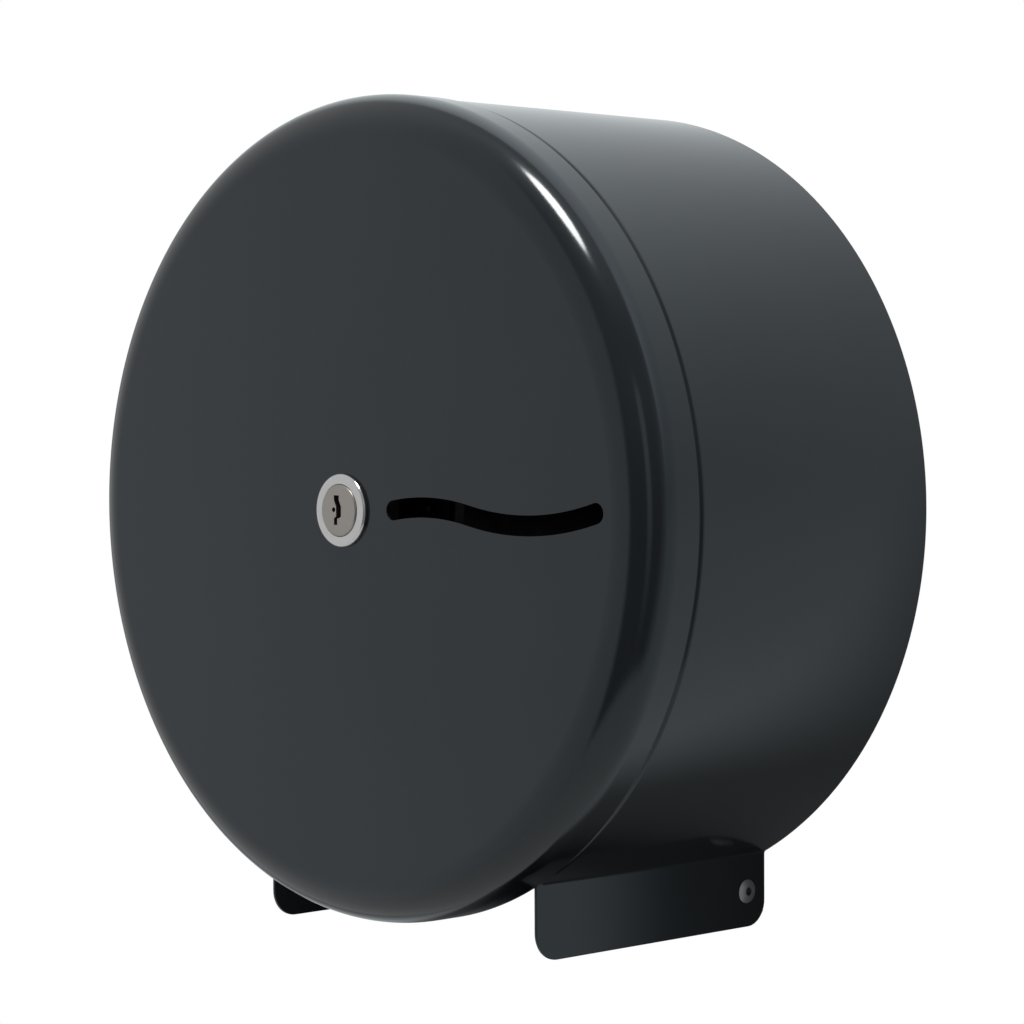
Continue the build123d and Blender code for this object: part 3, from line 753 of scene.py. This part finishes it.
def keyway_cutter():
    """The key's entry: an upright slot that steps aside, half closed at its foot, and a round nub."""
    y_low, y_high = RING_FRONT_Y - MM, RING_FRONT_Y + KEYWAY_DEPTH
    half = KEYWAY_W / 2
    clear_selection()
    bpy.ops.mesh.primitive_plane_add(
        size=KEYWAY_W, location=(KEYWAY_X, y_low, KEYWAY_TOP + half), rotation=(math.radians(90), 0, 0)
    )
    keyway = settle("keyway")
    bpy.ops.object.mode_set(mode="EDIT")
    pick(keyway, "VERT", lambda p: p.z > KEYWAY_TOP + NEAR)
    bpy.ops.mesh.delete(type="VERT")
    bpy.ops.mesh.select_all(action="SELECT")
    for across, drop in zip((0, KEYWAY_SHIFT, 0, -KEYWAY_SHIFT), KEYWAY_DROPS):
        bpy.ops.mesh.extrude_region_move(TRANSFORM_OT_translate={"value": (across, 0, -drop)})
    bpy.ops.mesh.select_all(action="SELECT")
    bpy.ops.mesh.extrude_region_move(TRANSFORM_OT_translate={"value": (0, y_high - y_low, 0)})
    recalculate(keyway)
    foot_top = KEYWAY_TOP - sum(KEYWAY_DROPS) + KEYWAY_OVERLAP
    foot_low = foot_top - KEYWAY_FOOT_H
    for x_low, x_high, deep in (
        (KEYWAY_X - half, KEYWAY_X, y_high + MM),
        (KEYWAY_X - KEYWAY_OVERLAP, KEYWAY_X + half, RING_FRONT_Y + KEYWAY_WARD_DEPTH),
    ):
        low, high = (x_low, y_low - MM, foot_low), (x_high, deep, foot_top)
        combine(keyway, block("foot", low, high), "UNION")
    low, high = (KEYWAY_NUB_X, y_low, KEYWAY_NUB_Z), (KEYWAY_NUB_X, y_high, KEYWAY_NUB_Z)
    combine(keyway, rod("nub", KEYWAY_NUB_R, low, high, SMALL_STEPS // 2), "UNION")
    return keyway


class DISPENSER_OT_key_plug(bpy.types.Operator):
    """Turns the key plug and cuts its keyway"""

    bl_idname = "dispenser.key_plug"
    bl_label = "Key Plug"

    def execute(self, context):
        head_rear_y = PLUG_FRONT_Y + PLUG_HEAD_H
        profile = [
            (PLUG_R - PLUG_CHAMFER, RING_FRONT_Y),
            (PLUG_R, RING_FRONT_Y + PLUG_CHAMFER),
            (PLUG_R, head_rear_y),
            (PLUG_BODY_R, head_rear_y),
            (PLUG_BODY_R, CAM_FRONT_Y),
        ]
        plug = turned("key_plug", profile)
        half = SHANK_SIDE / 2
        shank_low = (-half, CAM_FRONT_Y - MM, -half)
        combine(plug, block("shank", shank_low, (half, PLUG_REAR_Y, half)), "UNION")
        combine(plug, keyway_cutter())
        screw_low = (0, PLUG_REAR_Y - CAM_SCREW_DEPTH, 0)
        combine(plug, rod("screw_hole", CAM_SCREW_R, screw_low, (0, PLUG_REAR_Y + MM, 0)))
        finish_edges(plug, PLUG_SOFT, 2)
        dress(plug, "lock_barrel", "plug_satin", "lock_plug")
        return {"FINISHED"}


class DISPENSER_OT_hinge_rivets(bpy.types.Operator):
    """Turns the domed blind rivets, one for each hinge tab"""

    bl_idname = "dispenser.hinge_rivets"
    bl_label = "Hinge Rivets"

    def execute(self, context):
        head_out = RIVET_HEAD_FOOT + RIVET_HEAD_H
        rise = RIVET_HEAD_H - RIVET_LAND
        dome_r = (RIVET_HEAD_R**2 + rise**2) / (2 * rise)
        rim_angle = math.degrees(math.acos(RIVET_HEAD_R / dome_r))
        hole_angle = math.degrees(math.acos(RIVET_BORE_R / dome_r))
        dome = arc_profile((0, dome_r - head_out), dome_r, hole_angle, rim_angle, RIVET_DOME_STEPS)
        profile = [
            (RIVET_BORE_END_R, RIVET_BORE_DEPTH - head_out),
            (RIVET_BORE_R, dome[0][1] + RIVET_BORE_LIP),
            *dome,
            (RIVET_HEAD_R, -RIVET_HEAD_FOOT),
            (RIVET_SHANK_R, -RIVET_HEAD_FOOT),
            (RIVET_SHANK_R, -RIVET_BULB_TOP),
            (RIVET_BULB_R, -RIVET_BULB_TOP),
            (RIVET_BULB_R, -(RIVET_BULB_TOP + RIVET_BULB_END) / 2),
            (RIVET_SHANK_R, -RIVET_BULB_END),
        ]
        for side, label in ((1, "right"), (-1, "left")):
            rivet = turned(f"hinge_rivet_{label}", profile, SMALL_STEPS)
            turn = Matrix.Rotation(math.radians(90 * side), 4, "Z")
            rivet.data.transform(Matrix.Translation((0, HINGE_Y, HINGE_Z)) @ turn)
            finish_edges(rivet, RIVET_SOFT, 2)
            dress(rivet, "wall_frame", "rivet_steel", "pivot_rivets")
        return {"FINISHED"}


# ---- camera, floor, light and wall ----
CAMERA_PLACE = Vector((0.73609, -0.77061, 0.02862))
CAMERA_AIM = Vector((-0.71764, 0.69575, -0.03010))
CAMERA_ROLL = -0.0036
CAMERA_LENS, CAMERA_SENSOR = 109.77, 36  # mm
FLOOR_R, FLOOR_Z, FLOOR_STEPS = 1.6, -0.9, 128
FLOOR_FADE = (0.5, 1.5)  # distances between which the floor fades out
FLOOR_ROUGH = 0.9
FLOOR_GRAIN, FLOOR_DARK = 3.0, 0.97  # scale of the floor's mottling, and its darker tone


class DISPENSER_OT_stage(bpy.types.Operator):
    """Sets the camera, the pale floor, the surround, the overhead lamp and the wall"""

    bl_idname = "dispenser.stage"
    bl_label = "Stage"

    def execute(self, context):
        data = bpy.data.cameras.new("view_camera")
        data.lens = CAMERA_LENS
        data.sensor_width = CAMERA_SENSOR
        camera = bpy.data.objects.new("view_camera", data)
        context.scene.collection.objects.link(camera)
        camera.location = CAMERA_PLACE
        camera.rotation_mode = "QUATERNION"
        level = CAMERA_AIM.to_track_quat("-Z", "Y")
        camera.rotation_quaternion = level @ Quaternion((0, 0, 1), CAMERA_ROLL)
        context.scene.camera = camera
        context.scene.view_settings.view_transform = "Standard"
        add_floor()
        add_surround(context.scene)
        add_overhead()
        add_wall()
        return {"FINISHED"}


def add_floor():
    """Round pale floor well below the hanging dispenser, fading out at its edge and clear from below."""
    clear_selection()
    bpy.ops.mesh.primitive_circle_add(
        vertices=FLOOR_STEPS, radius=FLOOR_R, fill_type="NGON", location=(0, 0, FLOOR_Z)
    )
    floor = settle("floor")
    material, shader, principled = new_material("floor_white")
    principled.inputs["Roughness"].default_value = FLOOR_ROUGH
    place = shader.add("ShaderNodeTexCoord").outputs["Object"]
    split = shader.add("ShaderNodeSeparateXYZ", {"Vector": place})
    radius = shader.hypotenuse(split.outputs["X"], split.outputs["Y"])
    from_above = shader.math("SUBTRACT", 1.0, shader.add("ShaderNodeNewGeometry").outputs["Backfacing"])
    cover = shader.product(shader.smooth_step(radius, *FLOOR_FADE, *FALL), from_above)
    shader.tree.links.new(cover, principled.inputs["Alpha"])
    grain = shader.add("ShaderNodeTexNoise", {"Vector": place, "Scale": FLOOR_GRAIN})
    pale = colours().floor
    varied_colour(shader, principled, grain.outputs["Fac"], pale, [FLOOR_DARK * c for c in pale])
    floor.data.materials.append(material)


# The studio by direction, in degrees: azimuth is 0 straight in front and grows to the right. Each edge
# is a pair of places, and its levels, where given, are the values at those places.
LEAN_EDGE, LEAN = (20, 60), 32  # how the dark side's left edge leans further left high up
DARK_LEFT_EDGE, DARK_RIGHT_EDGE, DARK_FOOT_EDGE = (2, 14), (80, 112), (-42, -34)
DARK_TILT = 0.2  # the right edge leans right by this share of the height
# brightness of the dark side: a low and a high part, added
DARK_LOW_EDGE, DARK_LOW_LEVELS = (-10, 35), (0.21, 0.42)
DARK_HIGH_EDGE, DARK_HIGH_LEVELS = (35, 85), (0.0, 0.62)
# a paler upright strip within the dark side
STRIP_LEFT_EDGE, STRIP_RIGHT_EDGE = (49, 55), (60, 66)
STRIP_FOOT_EDGE, STRIP_TOP_EDGE = (-38, 18), (24, 30)
STRIP_LEVEL = 0.55
# brightness of the pale side, dimmer at the far left
PALE_EDGE, PALE_LEVELS = (-52, -38), (0.82, 0.75)
FAR_LEFT_EDGE, FAR_LEFT_LEVELS = (-110, -60), (0.76, 1.0)


def add_surround(scene):
    """White studio with its dark camera side; the camera itself sees plain white."""
    world = bpy.data.worlds.new("studio")
    scene.world = world
    world.use_nodes = True
    shader = Shader(world.node_tree)
    background = next(n for n in world.node_tree.nodes if n.type == "BACKGROUND")
    direction = shader.add("ShaderNodeTexCoord").outputs["Generated"]
    split = shader.add("ShaderNodeSeparateXYZ", {"Vector": direction})
    front = shader.math("MULTIPLY", split.outputs["Y"], -1.0)
    azimuth = shader.math("ARCTAN2", split.outputs["X"], front)
    elevation = shader.math("ARCSINE", split.outputs["Z"])

    def ramp(value, edge, levels=RISE):
        return shader.smooth_step(value, math.radians(edge[0]), math.radians(edge[1]), *levels)

    left = shader.math("ADD", azimuth, ramp(elevation, LEAN_EDGE, (0.0, math.radians(LEAN))))
    right = shader.math("SUBTRACT", azimuth, shader.product(elevation, DARK_TILT))
    dark = shader.product(
        ramp(left, DARK_LEFT_EDGE),
        ramp(right, DARK_RIGHT_EDGE, FALL),
        ramp(elevation, DARK_FOOT_EDGE),
    )
    low_part = ramp(elevation, DARK_LOW_EDGE, DARK_LOW_LEVELS)
    high_part = ramp(elevation, DARK_HIGH_EDGE, DARK_HIGH_LEVELS)
    strip = shader.product(
        ramp(azimuth, STRIP_LEFT_EDGE),
        ramp(azimuth, STRIP_RIGHT_EDGE, FALL),
        ramp(elevation, STRIP_FOOT_EDGE),
        ramp(elevation, STRIP_TOP_EDGE, FALL),
        STRIP_LEVEL,
    )
    dark_level = shader.math("ADD", shader.math("ADD", low_part, high_part), strip)
    far_left = ramp(azimuth, FAR_LEFT_EDGE, FAR_LEFT_LEVELS)
    pale_level = shader.product(ramp(azimuth, PALE_EDGE, PALE_LEVELS), far_left)
    inputs = {"Factor": dark, "A": pale_level, "B": dark_level}
    level = shader.add("ShaderNodeMix", inputs, data_type="FLOAT").outputs["Result"]
    rays = shader.add("ShaderNodeLightPath")
    inputs = {"Factor": rays.outputs["Is Camera Ray"], "A": level, "B": 1.0}
    seen = shader.add("ShaderNodeMix", inputs, data_type="FLOAT")
    shader.tree.links.new(seen.outputs["Result"], background.inputs["Strength"])
    background.inputs["Color"].default_value = (1, 1, 1, 1)


OVERHEAD_PLACE = (0.39, -0.575, 1.59)
OVERHEAD_TURN = math.radians(-21)
OVERHEAD_SIZE = (0.75, 0.42)
OVERHEAD_LEVEL = 31.5  # brightness of the lamp's face
OVERHEAD_COLOUR = (1.0, 0.915, 0.83)


def add_overhead():
    """Long oval lamp that hangs level above and in front."""
    lamp = bpy.data.lights.new("overhead", "AREA")
    lamp.shape = "ELLIPSE"
    lamp.size, lamp.size_y = OVERHEAD_SIZE
    lamp.color = OVERHEAD_COLOUR
    # power of an even brightness over an oval's area
    lamp.energy = OVERHEAD_LEVEL * math.pi * math.pi / 4 * lamp.size * lamp.size_y
    overhead = bpy.data.objects.new("overhead", lamp)
    bpy.context.scene.collection.objects.link(overhead)
    overhead.location = OVERHEAD_PLACE
    overhead.rotation_euler = (0, 0, OVERHEAD_TURN)


WALL_R = 0.75
WALL_HOLE_R = 127 * MM
WALL_Y = 0.5 * MM
WALL_GLOW_COLOUR = (0.94, 1.0, 1.02, 1)
# the wall's painted brightness (a painted shadow of the dispenser below, painted light rising higher up):
# two places across or up it, in metres, and the levels there
WALL_PAINTED_FAINT_SHADOW = (0.02, 0.12, 0.0, 0.15)
WALL_PAINTED_DEEP_SHADOW = (0.1, 0.16, 0.0, 0.58)
WALL_PAINTED_LIGHT_ABOVE = (0.0, 0.4, 0.64, 1.5)
WALL_PAINTED_DIM_LEFT = (-0.5, 0.0, 0.45, 1.0)
WALL_MIDDLE = (-0.04, 0.04)  # heights between which the lower part goes over into the upper


def add_wall():
    """Wall that only the gloss sees: a glow with painted light rising up it, dimmer to the left, and a
    painted shadow of the dispenser below it.
    """
    clear_selection()
    bpy.ops.mesh.primitive_circle_add(
        vertices=ROUND_STEPS,
        radius=WALL_HOLE_R,
        location=(0, WALL_Y, 0),
        rotation=(math.radians(90), 0, 0),
    )
    wall = settle("wall")
    bpy.ops.object.mode_set(mode="EDIT")
    bpy.ops.mesh.select_all(action="SELECT")
    bpy.ops.mesh.extrude_edges_move()
    share = WALL_R / WALL_HOLE_R
    bpy.ops.transform.resize(value=(share, 1, share), center_override=(0, WALL_Y, 0))
    bpy.ops.object.mode_set(mode="OBJECT")
    material = bpy.data.materials.new("wall_painted_light_in_gloss")
    material.use_nodes = True
    material.node_tree.nodes.clear()
    shader = Shader(material.node_tree)
    place = shader.add("ShaderNodeTexCoord").outputs["Object"]
    split = shader.add("ShaderNodeSeparateXYZ", {"Vector": place})
    across, up = split.outputs["X"], split.outputs["Z"]
    # painted shadow of the dispenser on the lower wall and painted light on the upper wall, sent out as a
    # glow that only reflections see
    beside = shader.math("ABSOLUTE", across)
    painted_faint_shadow = shader.smooth_step(beside, *WALL_PAINTED_FAINT_SHADOW)
    below = shader.math("ADD", painted_faint_shadow, shader.smooth_step(beside, *WALL_PAINTED_DEEP_SHADOW))
    above = shader.smooth_step(up, *WALL_PAINTED_LIGHT_ABOVE)
    inputs = {"Factor": shader.smooth_step(up, *WALL_MIDDLE), "A": below, "B": above}
    level = shader.add("ShaderNodeMix", inputs, data_type="FLOAT").outputs["Result"]
    level = shader.product(level, shader.smooth_step(across, *WALL_PAINTED_DIM_LEFT))
    painted_glow = shader.add("ShaderNodeEmission", {"Color": WALL_GLOW_COLOUR, "Strength": level})
    clear = shader.add("ShaderNodeBsdfTransparent")
    rays = shader.add("ShaderNodeLightPath")
    inputs = {0: rays.outputs["Is Glossy Ray"], 1: clear.outputs[0], 2: painted_glow.outputs[0]}
    mix = shader.add("ShaderNodeMixShader", inputs)
    shader.add("ShaderNodeOutputMaterial", {"Surface": mix.outputs[0]})
    wall.data.materials.append(material)


# ---- finishes of the record's slots ----
SLOT_FINISHES = {
    "casing_paint": "graphite_gloss",
    "plate_paint": "graphite_satin",
    "lock_chrome": "bright_chrome",
    "plug_satin": "satin_nickel",
    "zinc": "zinc_plate",
    "rivet_steel": "dark_steel",
    "nylon": "white_nylon",
    "hub_plastic": "black_plastic",
}
# zinc pieces coloured black as painted shade, so that nothing bright shows in the dark seen through the
# slot
SHADE_BLACKED_HARDWARE = (
    "lock_washer",
    "lock_nut",
    "lock_cam",
    "cam_washer",
    "cam_screw",
    "keeper_plate",
    "keeper_screws",
    "spindle_cap",
)
# name, roughness and depth of the relief; the panel gives their colours
PAINTS = (("graphite_gloss", 0.12, 0.006 * MM), ("graphite_satin", 0.3, 0.01 * MM))
CHROMES = (("bright_chrome", 0.12, 0.001 * MM), ("turned_chrome", 0.3, 0.003 * MM))
CHROME_DULL = (0.5, 0.5, 0.51)
NICKEL_DULL, NICKEL_ROUGH, NICKEL_RELIEF = (0.3, 0.28, 0.26), 0.32, 0.004 * MM
# name, clean colour, dull or scuffed colour, roughness and depth of the relief
METALS = (
    ("zinc_plate", (0.52, 0.53, 0.54), (0.42, 0.43, 0.45), 0.32, 0.002 * MM),
    ("dark_steel", (0.4, 0.4, 0.41), (0.3, 0.3, 0.31), 0.45, 0.002 * MM),
    # black here is painted shade for the casing's dark inside, not the zinc's own colour
    ("black_zinc", (0.035, 0.035, 0.037), (0.02, 0.02, 0.022), 0.4, 0.002 * MM),
)
PLASTICS = (
    ("white_nylon", (0.72, 0.71, 0.66), (0.6, 0.59, 0.54), 0.45, 0.004 * MM),
    ("black_plastic", (0.03, 0.03, 0.032), (0.06, 0.06, 0.06), 0.42, 0.006 * MM),
)


class DISPENSER_OT_finishes(bpy.types.Operator):
    """Builds the materials and gives the frame's own nodes theirs"""

    bl_idname = "dispenser.finishes"
    bl_label = "Finishes"

    def execute(self, context):
        c = colours()
        group = paint_surface_group()
        for name, roughness, depth in PAINTS:
            paint(name, group, tuple(c.paint), roughness, depth)
        group = turned_metal_group()
        for name, roughness, depth in CHROMES:
            metal(name, group, tuple(c.chrome), CHROME_DULL, roughness, depth)
        metal("satin_nickel", group, tuple(c.nickel), NICKEL_DULL, NICKEL_ROUGH, NICKEL_RELIEF)
        for name, *look in METALS:
            metal(name, group, *look)
        group = moulded_plastic_group()
        for name, *look in PLASTICS:
            plastic(name, group, *look)
        slots = {row["node"]: row["material_slot"] for row in frame["record"]["subparts"]}
        for name, node in frame["nodes"].items():
            # the hardware inside gets the black of painted shade instead of its zinc
            finish = "black_zinc" if name in SHADE_BLACKED_HARDWARE else SLOT_FINISHES[slots[name]]
            node.data.materials.clear()
            node.data.materials.append(bpy.data.materials[finish])
        return {"FINISHED"}


# ---- panel and run ----
class DISPENSER_PT_panel(bpy.types.Panel):
    """Lists the dispenser's sizes, colours and steps"""

    bl_label = "Roll Dispenser"
    bl_space_type = "VIEW_3D"
    bl_region_type = "UI"
    bl_category = "Dispenser"

    def draw(self, context):
        layout = self.layout
        for group in (context.scene.dispenser_sizes, context.scene.dispenser_colours):
            for key in group.__annotations__:
                layout.prop(group, key)
        for step in STEPS:
            layout.operator(step.bl_idname)


STEPS = (
    DISPENSER_OT_stage,
    DISPENSER_OT_finishes,
    DISPENSER_OT_cover_pan,
    DISPENSER_OT_drum_shell,
    DISPENSER_OT_lock_ring,
    DISPENSER_OT_key_plug,
    DISPENSER_OT_hinge_rivets,
)
CLASSES = (DispenserSizes, DispenserColours, *STEPS, DISPENSER_PT_panel)


def register():
    for one in CLASSES:
        bpy.utils.register_class(one)
    bpy.types.Scene.dispenser_sizes = PointerProperty(type=DispenserSizes)
    bpy.types.Scene.dispenser_colours = PointerProperty(type=DispenserColours)


def unregister():
    del bpy.types.Scene.dispenser_colours
    del bpy.types.Scene.dispenser_sizes
    for one in reversed(CLASSES):
        bpy.utils.unregister_class(one)


def main():
    register()
    bpy.ops.dispenser.stage()
    bpy.ops.dispenser.finishes()
    bpy.ops.dispenser.cover_pan()
    bpy.ops.dispenser.drum_shell()
    bpy.ops.dispenser.lock_ring()
    bpy.ops.dispenser.key_plug()
    bpy.ops.dispenser.hinge_rivets()


if __name__ == "__main__":
    main()
